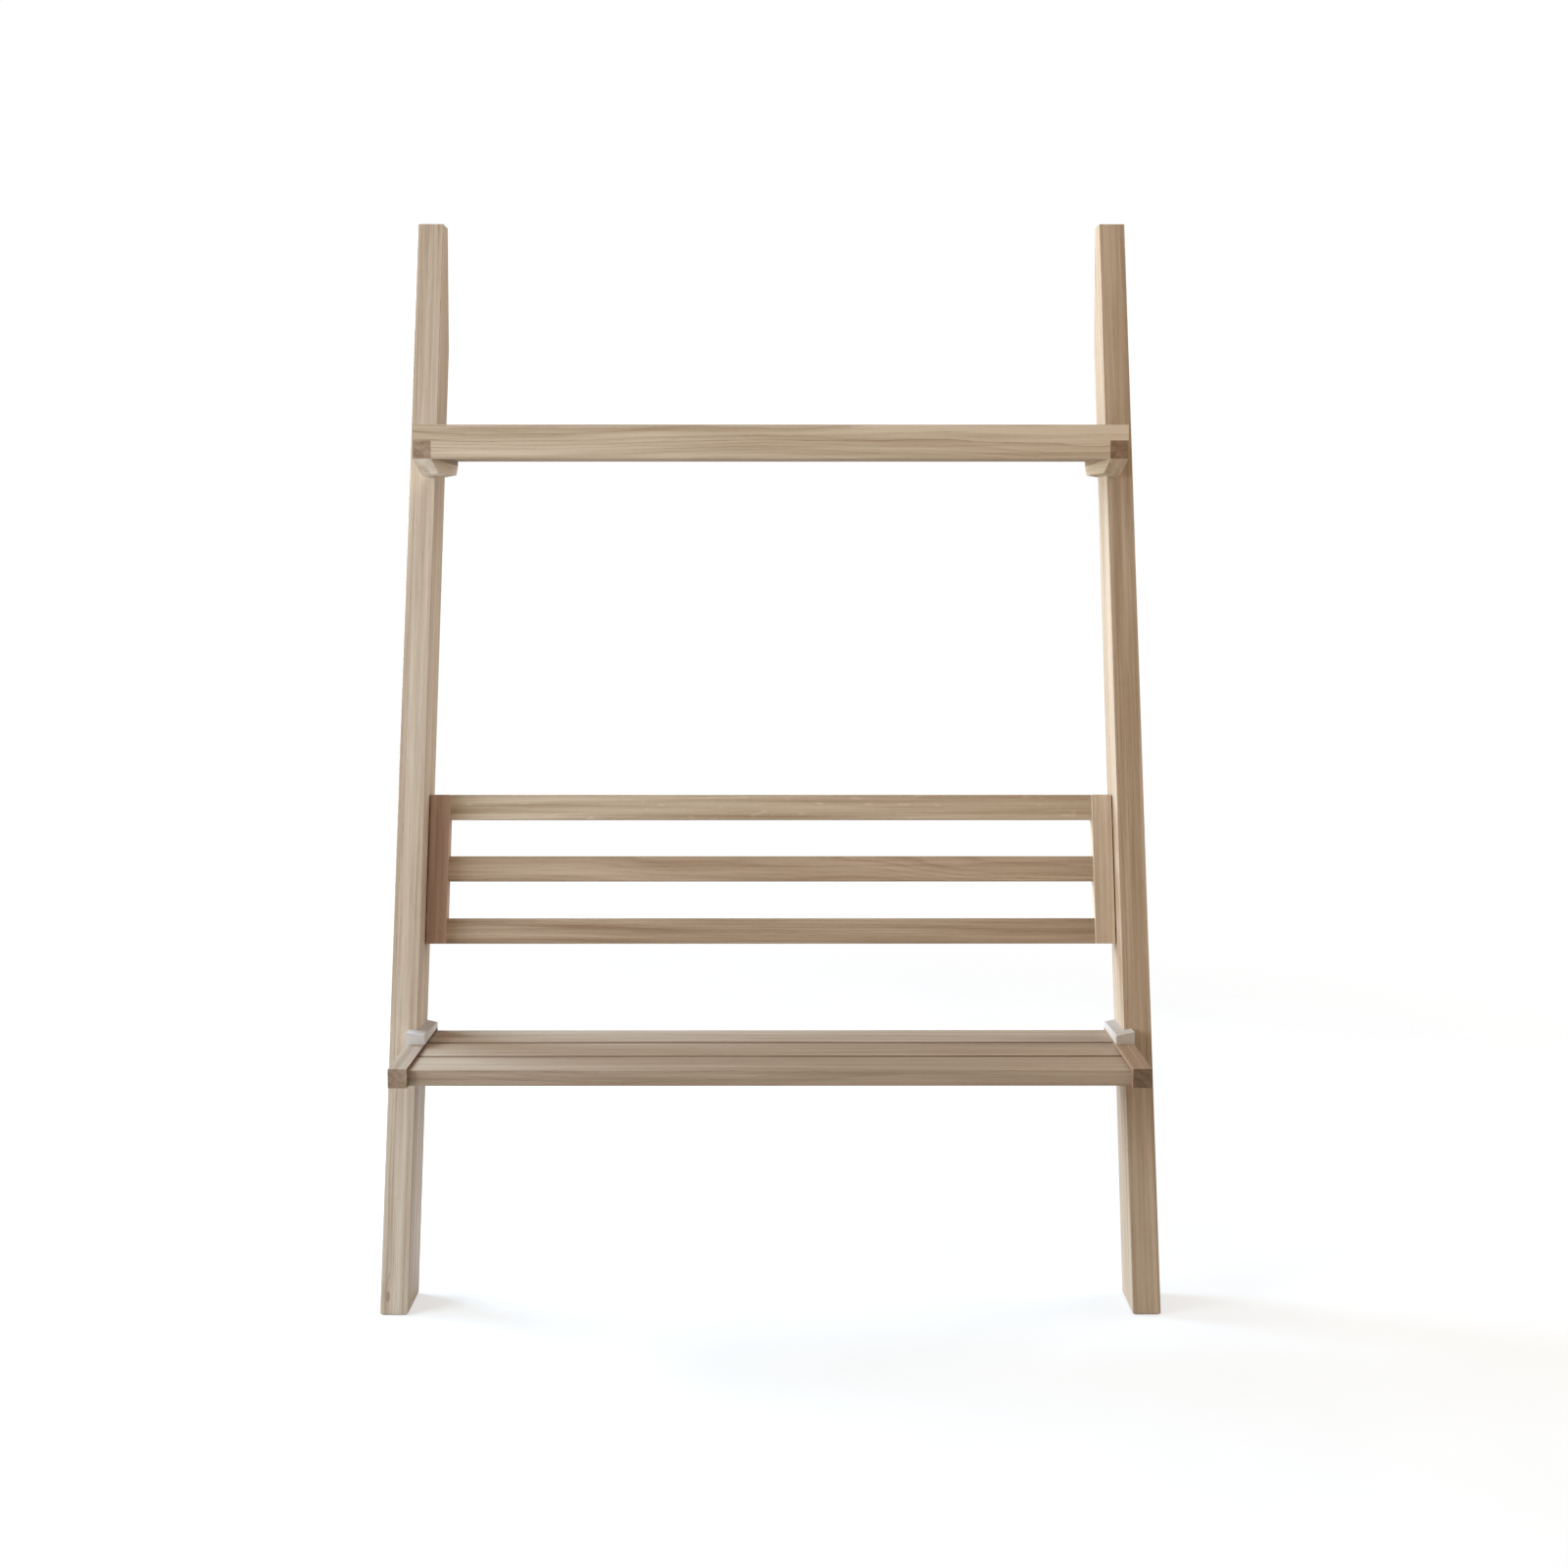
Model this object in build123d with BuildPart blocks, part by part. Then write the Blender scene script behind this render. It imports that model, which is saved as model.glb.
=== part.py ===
"""A ladder shelf that leans against a wall: two posts joined by a slatted seat, a backrest and a top shelf.

Lengths are in millimetres. The floor is Z = 0, the front faces -Y and the wall is the plane Y = DEPTH / 2.
The left half is modelled first; each right-hand piece mirrors its left-hand twin.
"""

import os
from math import cos, radians, tan

from build123d import *

# Overall size
WIDTH = 1250.0
HEIGHT = 1800.0
DEPTH = 525.0
LEAN = 12.8  # backward lean of the posts, degrees from vertical
ARRIS = 1.2  # softening of the long edges

# Posts
POST_WIDTH = 45.0
POST_DEPTH = 88.0  # square to the lean
POST_TOE = 73.0  # the seat front stands this far in front of the feet
PAD = 2.0  # felt under the feet and behind the tops
PAD_INSET = 2.5

# Side rails: the same stick carries the seat and the shelf
RAIL = 30.0
RAIL_LENGTH = 255.0
LAP = 12.0  # the rail is notched over the post by this much
SEAT_HEIGHT = 420.0
SHELF_HEIGHT = 1404.0
SHELF_SETBACK = 247.0  # shelf front behind the seat front

# Slats of the seat and of the shelf
SLATS = 3
SEAT_SLAT_THICKNESS = 25.0
SHELF_SLAT_THICKNESS = 18.0
SLAT_DROP = 4.0  # slat tops below the rail tops
SLAT_GAP = 6.0
SEAT_SLAT_SETBACK = 8.0  # front slat behind the rail fronts
SLATTED_DEPTH = 250.0  # from the rail fronts to the back of the slats

# Front board of the shelf, notched over the rail ends
BOARD_HEIGHT = 56.0
BOARD_THICKNESS = 20.0

# Grip blocks, L-shaped in plan: one on top of each seat rail, one under each shelf rail
SEAT_BLOCK_SETBACK = 143.0  # block front behind the rail front
SEAT_BLOCK_OUTER = 20.0  # height at its outer side
SEAT_BLOCK_INNER = 14.0
SEAT_BLOCK_FALL = 5.0  # its top falls this much from front to back
SHELF_BLOCK_OUTER = 26.0  # depth at its outer side
SHELF_BLOCK_INNER = 20.5
SHELF_BLOCK_RISE = 3.0  # its underside rises this much from front to back
SHELF_BLOCK_FRONT_SLANT = 80.0
SHELF_BLOCK_BACK_SLANT = 26.0
BLOCK_ROUND = 3.0

# Backrest, lying in the leaning plane of the posts
BACKREST_HEIGHT = 250.0
BACKREST_CENTRE = 695.5  # height of its centre line, on the posts' front face
BACKREST_SETBACK = 41.0  # stile front behind the posts' front face
STILE_WIDTH = 34.0
STILE_THICKNESS = 22.0
BACK_RAILS = 3
BACK_RAIL_WIDTH = 42.0
BACK_RAIL_THICKNESS = 18.0
SIDE_GAP = 1.5  # filled by spacers between stile and post

# Wooden dowels (sides) and pegs (blocks and board)
DOWEL = 8.0
DOWEL_IN_RAIL = 10.0
DOWEL_IN_STILE = 14.0
DOWEL_IN_BOARD = 20.0
SLAT_DOWEL_PITCH = 28.0
BACK_DOWEL_PITCH = 20.0
PEG = 6.0
PEG_DEPTH = 10.0
TIP_CHAMFER = 0.8

# M6 connecting bolts, and the threaded inserts that take them
BOLT = 6.0
BOLT_HOLE = 6.6
BOLT_LENGTH = 48.0
HEAD = 10.0
HEAD_HEIGHT = 6.0
HEX_ACROSS = 5.0
HEX_DEPTH = 3.0
COUNTERBORE = 12.0
COUNTERBORE_DEPTH = 7.0
INSERT = 10.0
INSERT_LENGTH = 12.0
SPACER = 16.0
SEAT_BOLT_PITCH = 56.0
SHELF_BLOCK_BOLT_DROP = 10.5  # one bolt enters the shelf's block, this far below the rail
BACK_BOLT_PITCH = 160.0

# Planes and levels that follow from these
SEAT_FRONT = -DEPTH / 2
FOOT_FRONT = SEAT_FRONT + POST_TOE
SHELF_FRONT = SEAT_FRONT + SHELF_SETBACK
WALL = DEPTH / 2
SLOPE = tan(radians(LEAN))
POST_RUN = POST_DEPTH / cos(radians(LEAN))  # level depth of a post
POST_OUTER = -WIDTH / 2
POST_INNER = POST_OUTER + POST_WIDTH
RAIL_OUTER = POST_INNER - LAP
RAIL_INNER = RAIL_OUTER + RAIL
RAIL_MIDDLE = RAIL_OUTER + RAIL / 2
TONGUE_MIDDLE = (POST_INNER + RAIL_INNER) / 2  # of what the notch leaves beside the post
STILE_OUTER = POST_INNER + SIDE_GAP
STILE_INNER = STILE_OUTER + STILE_WIDTH
PLUMB_FROM = (WALL - PAD - FOOT_FRONT - POST_RUN) / SLOPE  # above this the posts' backs are plumb


def post_front(height):
    """Y of the posts' front face at a height."""
    return FOOT_FRONT + SLOPE * height


# Lines across the depth on which the slats, dowels, bolts and pegs are centred
SEAT_SLAT_WIDTH = (SLATTED_DEPTH - SEAT_SLAT_SETBACK - (SLATS - 1) * SLAT_GAP) / SLATS
SEAT_SLAT_START = SEAT_FRONT + SEAT_SLAT_SETBACK
SEAT_SLAT_LINES = [
    SEAT_SLAT_START + SEAT_SLAT_WIDTH / 2 + i * (SEAT_SLAT_WIDTH + SLAT_GAP) for i in range(SLATS)
]
SHELF_SLAT_WIDTH = (SLATTED_DEPTH - BOARD_THICKNESS - SLATS * SLAT_GAP) / SLATS
SHELF_SLAT_START = SHELF_FRONT + BOARD_THICKNESS + SLAT_GAP
SHELF_SLAT_LINES = [
    SHELF_SLAT_START + SHELF_SLAT_WIDTH / 2 + i * (SHELF_SLAT_WIDTH + SLAT_GAP) for i in range(SLATS)
]
SEAT_SLAT_LEVEL = SEAT_HEIGHT - SLAT_DROP - SEAT_SLAT_THICKNESS / 2
SHELF_SLAT_LEVEL = SHELF_HEIGHT - SLAT_DROP - SHELF_SLAT_THICKNESS / 2
BOARD_LINE = SHELF_FRONT + BOARD_THICKNESS / 2
BOARD_LEVEL = SHELF_HEIGHT - RAIL / 2


def slat_dowel_spots(lines, level):
    """(Y, Z) of the two dowels at the end of each slat."""
    offsets = (-SLAT_DOWEL_PITCH / 2, SLAT_DOWEL_PITCH / 2)
    return [(line + offset, level) for line in lines for offset in offsets]


SEAT_DOWELS = slat_dowel_spots(SEAT_SLAT_LINES, SEAT_SLAT_LEVEL)
SHELF_DOWELS = slat_dowel_spots(SHELF_SLAT_LINES, SHELF_SLAT_LEVEL)
BOARD_DOWELS = [(BOARD_LINE, BOARD_LEVEL)]

SEAT_BOLT_LEVEL = SEAT_HEIGHT - RAIL / 2
SEAT_BOLTS = [
    (SEAT_SLAT_LINES[-1] + offset, SEAT_BOLT_LEVEL)
    for offset in (-SEAT_BOLT_PITCH / 2, SEAT_BOLT_PITCH / 2)
]
SHELF_RAIL_BOLT = ((SHELF_DOWELS[-3][0] + SHELF_DOWELS[-2][0]) / 2, SHELF_HEIGHT - RAIL / 2)
SHELF_BLOCK_BOLT = (SHELF_RAIL_BOLT[0] + RAIL, SHELF_HEIGHT - RAIL - SHELF_BLOCK_BOLT_DROP)
SHELF_BOLTS = [SHELF_RAIL_BOLT, SHELF_BLOCK_BOLT]

SEAT_BLOCK_FRONT = SEAT_FRONT + SEAT_BLOCK_SETBACK
SEAT_PEGS = [(RAIL_MIDDLE, SEAT_BLOCK_FRONT + 2 * PEG), (TONGUE_MIDDLE, SEAT_SLAT_LINES[-1])]
SHELF_PEGS = [
    (RAIL_MIDDLE, (SHELF_DOWELS[1][0] + SHELF_DOWELS[2][0]) / 2),
    (TONGUE_MIDDLE, SHELF_DOWELS[3][0] + DOWEL),
]
BOARD_PEGS = [(RAIL_MIDDLE, BOARD_LINE)]

# The backrest's own plane: X across, Y up along the lean, Z out of the posts' front face
BACK_PLANE = Plane(
    origin=(0, post_front(BACKREST_CENTRE), BACKREST_CENTRE),
    x_dir=(1, 0, 0),
    z_dir=(0, -1, SLOPE),
)
BACK_MIDDLE = -(BACKREST_SETBACK + STILE_THICKNESS / 2)
BACK_RAIL_PITCH = (BACKREST_HEIGHT - BACK_RAIL_WIDTH) / (BACK_RAILS - 1)


# (up, out) spots in that plane, and the bolts again as (Y, Z) for the posts and the metal parts
BACK_RAIL_LINES = [(i - (BACK_RAILS - 1) / 2) * BACK_RAIL_PITCH for i in range(BACK_RAILS)]
BACK_DOWELS = [
    (line + offset, BACK_MIDDLE)
    for line in BACK_RAIL_LINES
    for offset in (-BACK_DOWEL_PITCH / 2, BACK_DOWEL_PITCH / 2)
]
BACK_BOLTS = [(offset, BACK_MIDDLE) for offset in (-BACK_BOLT_PITCH / 2, BACK_BOLT_PITCH / 2)]
BACK_BOLT_POINTS = [BACK_PLANE.from_local_coords(Vector(0, up, out)) for up, out in BACK_BOLTS]
BACK_BOLTS_LEVEL = [(point.Y, point.Z) for point in BACK_BOLT_POINTS]


def facing_left(x, y, z):
    """A spot on a face that looks towards -X."""
    return Location(Plane(origin=(x, y, z), x_dir=(0, 1, 0), z_dir=(-1, 0, 0)))


def facing_right(x, y, z):
    """A spot on a face that looks towards +X."""
    return Location(Plane(origin=(x, y, z), x_dir=(0, 1, 0), z_dir=(1, 0, 0)))


def facing_down(x, y, z):
    """A spot on a face that looks at the floor."""
    return Location(Plane(origin=(x, y, z), x_dir=(1, 0, 0), z_dir=(0, 0, -1)))


def bore_left_face(x, spots, diameter, depth):
    """Bores the current part from a face that looks towards -X."""
    for y, z in spots:
        with Locations(facing_left(x, y, z)):
            Hole(diameter / 2, depth)


def bore_right_face(x, spots, diameter, depth):
    """Bores the current part from a face that looks towards +X."""
    for y, z in spots:
        with Locations(facing_right(x, y, z)):
            Hole(diameter / 2, depth)


def bore_top(z, spots):
    """Bores peg holes down into the current part."""
    for x, y in spots:
        with Locations((x, y, z)):
            Hole(PEG / 2, PEG_DEPTH)


def bore_underside(z, spots):
    """Bores peg holes up into the current part."""
    for x, y in spots:
        with Locations(facing_down(x, y, z)):
            Hole(PEG / 2, PEG_DEPTH)


def lap_over_post():
    """Cuts away what would stand in the left post or behind it, leaving a leaning shoulder."""
    with BuildSketch(Plane.YZ.offset(POST_OUTER)) as waste:
        with BuildLine():
            Polyline(
                (post_front(0), 0),
                (DEPTH, 0),
                (DEPTH, HEIGHT),
                (post_front(HEIGHT), HEIGHT),
                close=True,
            )
        make_face()
    extrude(waste.sketch, amount=POST_WIDTH, mode=Mode.SUBTRACT)


def side_rail(front, top):
    """A left side rail: a square stick notched over the post."""
    with Locations((RAIL_OUTER, front, top)):
        Box(RAIL, RAIL_LENGTH, RAIL, align=(Align.MIN, Align.MIN, Align.MAX))
    fillet(edges().filter_by(Axis.Y), ARRIS)
    lap_over_post()


def slat(line, width, thickness, dowels):
    """A slat between the side rails, bored at both ends for its dowels."""
    level = dowels[0][1]
    with Locations((0, line, level)):
        Box(-2 * RAIL_INNER, width, thickness)
    fillet(edges().filter_by(Axis.X), ARRIS)
    bore_left_face(RAIL_INNER, dowels, DOWEL, DOWEL_IN_BOARD)
    bore_right_face(-RAIL_INNER, dowels, DOWEL, DOWEL_IN_BOARD)


def back_rail(line, dowels):
    """A level rail between the stiles, bored at both ends for its dowels."""
    with Locations((0, line, BACK_MIDDLE)):
        Box(-2 * STILE_INNER, BACK_RAIL_WIDTH, BACK_RAIL_THICKNESS)
    fillet(edges().filter_by(Axis.X), ARRIS)
    bore_left_face(STILE_INNER, dowels, DOWEL, DOWEL_IN_BOARD)
    bore_right_face(-STILE_INNER, dowels, DOWEL, DOWEL_IN_BOARD)


def cross_dowels(spots, joint, outer_depth):
    """Dowels lying along X in the joints at both ends, centred on the (Y, Z) spots."""
    length = outer_depth + DOWEL_IN_BOARD
    middle = joint - outer_depth + length / 2
    for x in (middle, -middle):
        for y, z in spots:
            with Locations(Location((x, y, z), (0, 90, 0))):
                Cylinder(DOWEL / 2, length)
    chamfer(edges().filter_by(GeomType.CIRCLE), TIP_CHAMFER)


def pegs(spots, joint):
    """Upright pegs across a level joint, on both sides of the shelf."""
    for x, y in spots:
        with Locations((x, y, joint), (-x, y, joint)):
            Cylinder(PEG / 2, 2 * PEG_DEPTH)
    chamfer(edges().filter_by(GeomType.CIRCLE), TIP_CHAMFER)


def bolts(spots):
    """Cap-head bolts sunk in the posts' outer faces, on both sides."""
    seat_of_head = POST_OUTER + COUNTERBORE_DEPTH
    for side, turn in ((1, 90), (-1, -90)):
        for y, z in spots:
            with Locations(Location((side * seat_of_head, y, z), (0, turn, 0))):
                Cylinder(BOLT / 2, BOLT_LENGTH, align=(Align.CENTER, Align.CENTER, Align.MIN))
                Cylinder(HEAD / 2, HEAD_HEIGHT, align=(Align.CENTER, Align.CENTER, Align.MAX))
    for facing, side in ((facing_left, 1), (facing_right, -1)):
        for y, z in spots:
            with BuildSketch(Plane(facing(side * (seat_of_head - HEAD_HEIGHT), y, z))) as socket:
                RegularPolygon(HEX_ACROSS / 2, 6, major_radius=False)
            extrude(socket.sketch, amount=-HEX_DEPTH, mode=Mode.SUBTRACT)


def inserts(spots, face):
    """Threaded inserts let into a face that looks towards the posts, on both sides."""
    for x in (face + INSERT_LENGTH / 2, -face - INSERT_LENGTH / 2):
        for y, z in spots:
            with Locations(Location((x, y, z), (0, 90, 0))):
                Cylinder(INSERT / 2, INSERT_LENGTH)
                Cylinder(BOLT / 2, INSERT_LENGTH, mode=Mode.SUBTRACT)


# ---- posts

with BuildPart() as upright_left:
    with BuildSketch(Plane.YZ.offset(POST_OUTER)):
        with BuildLine():
            Polyline(
                (post_front(PAD), PAD),
                (post_front(PAD) + POST_RUN, PAD),
                (WALL - PAD, PLUMB_FROM),
                (WALL - PAD, HEIGHT),
                (post_front(HEIGHT), HEIGHT),
                close=True,
            )
        make_face()
    extrude(amount=POST_WIDTH)
    fillet(edges().filter_by(Axis.X, reverse=True), ARRIS)
    for bolt_y, bolt_z in SEAT_BOLTS + SHELF_BOLTS + BACK_BOLTS_LEVEL:
        with Locations(facing_left(POST_OUTER, bolt_y, bolt_z)):
            CounterBoreHole(BOLT_HOLE / 2, COUNTERBORE / 2, COUNTERBORE_DEPTH, POST_WIDTH)
upright_left.part.label = "upright_left"

with BuildPart() as foot_pad_left:
    with Locations((POST_OUTER + PAD_INSET, post_front(PAD) + PAD_INSET, 0)):
        Box(
            POST_WIDTH - 2 * PAD_INSET,
            POST_RUN - 2 * PAD_INSET,
            PAD,
            align=(Align.MIN, Align.MIN, Align.MIN),
        )
    fillet(edges().filter_by(Axis.Z), PAD)
foot_pad_left.part.label = "foot_pad_left"

with BuildPart() as wall_pad_left:
    with Locations((POST_OUTER + PAD_INSET, WALL, HEIGHT - PAD_INSET)):
        Box(
            POST_WIDTH - 2 * PAD_INSET,
            PAD,
            HEIGHT - PLUMB_FROM - 2 * PAD_INSET,
            align=(Align.MIN, Align.MAX, Align.MAX),
        )
    fillet(edges().filter_by(Axis.Y), PAD)
wall_pad_left.part.label = "wall_pad_left"

# ---- seat

with BuildPart() as seat_side_rail_left:
    side_rail(SEAT_FRONT, SEAT_HEIGHT)
    bore_right_face(RAIL_INNER, SEAT_DOWELS, DOWEL, DOWEL_IN_RAIL)
    bore_left_face(POST_INNER, SEAT_BOLTS, INSERT, INSERT_LENGTH)
    bore_top(SEAT_HEIGHT, SEAT_PEGS)
seat_side_rail_left.part.label = "seat_side_rail_left"

with BuildPart() as seat_slat_front:
    slat(SEAT_SLAT_LINES[0], SEAT_SLAT_WIDTH, SEAT_SLAT_THICKNESS, SEAT_DOWELS[0:2])
seat_slat_front.part.label = "seat_slat_front"

with BuildPart() as seat_slat_middle:
    slat(SEAT_SLAT_LINES[1], SEAT_SLAT_WIDTH, SEAT_SLAT_THICKNESS, SEAT_DOWELS[2:4])
seat_slat_middle.part.label = "seat_slat_middle"

with BuildPart() as seat_slat_rear:
    slat(SEAT_SLAT_LINES[2], SEAT_SLAT_WIDTH, SEAT_SLAT_THICKNESS, SEAT_DOWELS[4:6])
seat_slat_rear.part.label = "seat_slat_rear"

with BuildPart() as seat_grip_block_left:
    block_length = SEAT_FRONT + RAIL_LENGTH - SEAT_BLOCK_FRONT
    with Locations((RAIL_OUTER, SEAT_BLOCK_FRONT, SEAT_HEIGHT)):
        Box(RAIL, block_length, SEAT_BLOCK_OUTER, align=(Align.MIN, Align.MIN, Align.MIN))
    # the top falls towards the middle of the seat and a little towards the back
    cross_fall = (SEAT_BLOCK_OUTER - SEAT_BLOCK_INNER) / RAIL
    back_fall = SEAT_BLOCK_FALL / block_length
    split(
        bisect_by=Plane(
            origin=(RAIL_OUTER, SEAT_BLOCK_FRONT, SEAT_HEIGHT + SEAT_BLOCK_OUTER),
            z_dir=(cross_fall, back_fall, 1),
        ),
        keep=Keep.BOTTOM,
    )
    fillet(faces().sort_by(Axis.X)[-1].edges().sort_by(Axis.Z)[-1], BLOCK_ROUND)
    lap_over_post()
    bore_underside(SEAT_HEIGHT, SEAT_PEGS)
seat_grip_block_left.part.label = "seat_grip_block_left"

# ---- top shelf

with BuildPart() as shelf_side_rail_left:
    side_rail(SHELF_FRONT, SHELF_HEIGHT)
    bore_right_face(RAIL_INNER, SHELF_DOWELS + BOARD_DOWELS, DOWEL, DOWEL_IN_RAIL)
    bore_left_face(POST_INNER, [SHELF_RAIL_BOLT], INSERT, INSERT_LENGTH)
    bore_top(SHELF_HEIGHT, BOARD_PEGS)
    bore_underside(SHELF_HEIGHT - RAIL, SHELF_PEGS)
shelf_side_rail_left.part.label = "shelf_side_rail_left"

with BuildPart() as shelf_front_board:
    with Locations((0, BOARD_LINE, SHELF_HEIGHT - RAIL)):
        Box(
            -2 * RAIL_OUTER,
            BOARD_THICKNESS,
            BOARD_HEIGHT,
            align=(Align.CENTER, Align.CENTER, Align.MIN),
        )
    fillet(edges().filter_by(Axis.X), ARRIS)
    for rail_x in (RAIL_MIDDLE, -RAIL_MIDDLE):
        with Locations((rail_x, BOARD_LINE, BOARD_LEVEL)):
            Box(RAIL, BOARD_THICKNESS, RAIL, mode=Mode.SUBTRACT)
    bore_left_face(RAIL_INNER, BOARD_DOWELS, DOWEL, DOWEL_IN_BOARD)
    bore_right_face(-RAIL_INNER, BOARD_DOWELS, DOWEL, DOWEL_IN_BOARD)
    bore_underside(SHELF_HEIGHT, BOARD_PEGS + [(-x, y) for x, y in BOARD_PEGS])
shelf_front_board.part.label = "shelf_front_board"

with BuildPart() as shelf_slat_front:
    slat(SHELF_SLAT_LINES[0], SHELF_SLAT_WIDTH, SHELF_SLAT_THICKNESS, SHELF_DOWELS[0:2])
shelf_slat_front.part.label = "shelf_slat_front"

with BuildPart() as shelf_slat_middle:
    slat(SHELF_SLAT_LINES[1], SHELF_SLAT_WIDTH, SHELF_SLAT_THICKNESS, SHELF_DOWELS[2:4])
shelf_slat_middle.part.label = "shelf_slat_middle"

with BuildPart() as shelf_slat_rear:
    slat(SHELF_SLAT_LINES[2], SHELF_SLAT_WIDTH, SHELF_SLAT_THICKNESS, SHELF_DOWELS[4:6])
shelf_slat_rear.part.label = "shelf_slat_rear"

with BuildPart() as shelf_grip_block_left:
    block_top = SHELF_HEIGHT - RAIL
    block_back = SHELF_FRONT + RAIL_LENGTH
    with BuildSketch(Plane.YZ.offset(RAIL_OUTER)):
        with BuildLine():
            Polyline(
                (SHELF_FRONT, block_top),
                (SHELF_FRONT + SHELF_BLOCK_FRONT_SLANT, block_top - SHELF_BLOCK_OUTER),
                (block_back - SHELF_BLOCK_BACK_SLANT, block_top - SHELF_BLOCK_OUTER),
                (block_back, block_top),
                close=True,
            )
        make_face()
    extrude(amount=RAIL)
    # the underside rises towards the middle of the shelf and a little towards the back
    underside_front = SHELF_FRONT + SHELF_BLOCK_FRONT_SLANT
    cross_rise = (SHELF_BLOCK_OUTER - SHELF_BLOCK_INNER) / RAIL
    back_rise = SHELF_BLOCK_RISE / (block_back - SHELF_BLOCK_BACK_SLANT - underside_front)
    split(
        bisect_by=Plane(
            origin=(RAIL_OUTER, underside_front, block_top - SHELF_BLOCK_OUTER),
            z_dir=(-cross_rise, -back_rise, 1),
        ),
        keep=Keep.TOP,
    )
    fillet(faces().sort_by(Axis.Z)[0].edges().sort_by(Axis.Y)[-1], 2 * BLOCK_ROUND)
    lap_over_post()
    bore_top(block_top, SHELF_PEGS)
    bore_left_face(POST_INNER, [SHELF_BLOCK_BOLT], INSERT, INSERT_LENGTH)
shelf_grip_block_left.part.label = "shelf_grip_block_left"

# ---- backrest

with BuildPart(BACK_PLANE) as backrest_stile_left:
    with Locations(((STILE_OUTER + STILE_INNER) / 2, 0, BACK_MIDDLE)):
        Box(STILE_WIDTH, BACKREST_HEIGHT, STILE_THICKNESS)
    fillet(edges().filter_by(Axis.X, reverse=True), ARRIS)
    bore_right_face(STILE_INNER, BACK_DOWELS, DOWEL, DOWEL_IN_STILE)
    bore_left_face(STILE_OUTER, BACK_BOLTS, INSERT, INSERT_LENGTH)
backrest_stile_left.part.label = "backrest_stile_left"

with BuildPart(BACK_PLANE) as backrest_rail_bottom:
    back_rail(BACK_RAIL_LINES[0], BACK_DOWELS[0:2])
backrest_rail_bottom.part.label = "backrest_rail_bottom"

with BuildPart(BACK_PLANE) as backrest_rail_middle:
    back_rail(BACK_RAIL_LINES[1], BACK_DOWELS[2:4])
backrest_rail_middle.part.label = "backrest_rail_middle"

with BuildPart(BACK_PLANE) as backrest_rail_top:
    back_rail(BACK_RAIL_LINES[2], BACK_DOWELS[4:6])
backrest_rail_top.part.label = "backrest_rail_top"

# ---- right-hand twins

with BuildPart() as upright_right:
    mirror(upright_left.part, about=Plane.YZ)
upright_right.part.label = "upright_right"

with BuildPart() as foot_pad_right:
    mirror(foot_pad_left.part, about=Plane.YZ)
foot_pad_right.part.label = "foot_pad_right"

with BuildPart() as wall_pad_right:
    mirror(wall_pad_left.part, about=Plane.YZ)
wall_pad_right.part.label = "wall_pad_right"

with BuildPart() as seat_side_rail_right:
    mirror(seat_side_rail_left.part, about=Plane.YZ)
seat_side_rail_right.part.label = "seat_side_rail_right"

with BuildPart() as seat_grip_block_right:
    mirror(seat_grip_block_left.part, about=Plane.YZ)
seat_grip_block_right.part.label = "seat_grip_block_right"

with BuildPart() as shelf_side_rail_right:
    mirror(shelf_side_rail_left.part, about=Plane.YZ)
shelf_side_rail_right.part.label = "shelf_side_rail_right"

with BuildPart() as shelf_grip_block_right:
    mirror(shelf_grip_block_left.part, about=Plane.YZ)
shelf_grip_block_right.part.label = "shelf_grip_block_right"

with BuildPart() as backrest_stile_right:
    mirror(backrest_stile_left.part, about=Plane.YZ)
backrest_stile_right.part.label = "backrest_stile_right"

# ---- dowels and pegs, glued in their joints

with BuildPart() as seat_slat_dowels:
    cross_dowels(SEAT_DOWELS, RAIL_INNER, DOWEL_IN_RAIL)
seat_slat_dowels.part.label = "seat_slat_dowels"

with BuildPart() as shelf_slat_dowels:
    cross_dowels(SHELF_DOWELS, RAIL_INNER, DOWEL_IN_RAIL)
shelf_slat_dowels.part.label = "shelf_slat_dowels"

with BuildPart() as shelf_board_dowels:
    cross_dowels(BOARD_DOWELS, RAIL_INNER, DOWEL_IN_RAIL)
shelf_board_dowels.part.label = "shelf_board_dowels"

with BuildPart(BACK_PLANE) as backrest_dowels:
    cross_dowels(BACK_DOWELS, STILE_INNER, DOWEL_IN_STILE)
backrest_dowels.part.label = "backrest_dowels"

with BuildPart() as seat_block_pegs:
    pegs(SEAT_PEGS, SEAT_HEIGHT)
seat_block_pegs.part.label = "seat_block_pegs"

with BuildPart() as shelf_block_pegs:
    pegs(SHELF_PEGS, SHELF_HEIGHT - RAIL)
shelf_block_pegs.part.label = "shelf_block_pegs"

with BuildPart() as shelf_board_pegs:
    pegs(BOARD_PEGS, SHELF_HEIGHT)
shelf_board_pegs.part.label = "shelf_board_pegs"

# ---- metal: bolts through the posts, the inserts they screw into, spacers beside the backrest

with BuildPart() as seat_bolts:
    bolts(SEAT_BOLTS)
seat_bolts.part.label = "seat_bolts"

with BuildPart() as shelf_bolts:
    bolts(SHELF_BOLTS)
shelf_bolts.part.label = "shelf_bolts"

with BuildPart() as backrest_bolts:
    bolts(BACK_BOLTS_LEVEL)
backrest_bolts.part.label = "backrest_bolts"

with BuildPart() as seat_inserts:
    inserts(SEAT_BOLTS, POST_INNER)
seat_inserts.part.label = "seat_inserts"

with BuildPart() as shelf_inserts:
    inserts(SHELF_BOLTS, POST_INNER)
shelf_inserts.part.label = "shelf_inserts"

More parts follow.
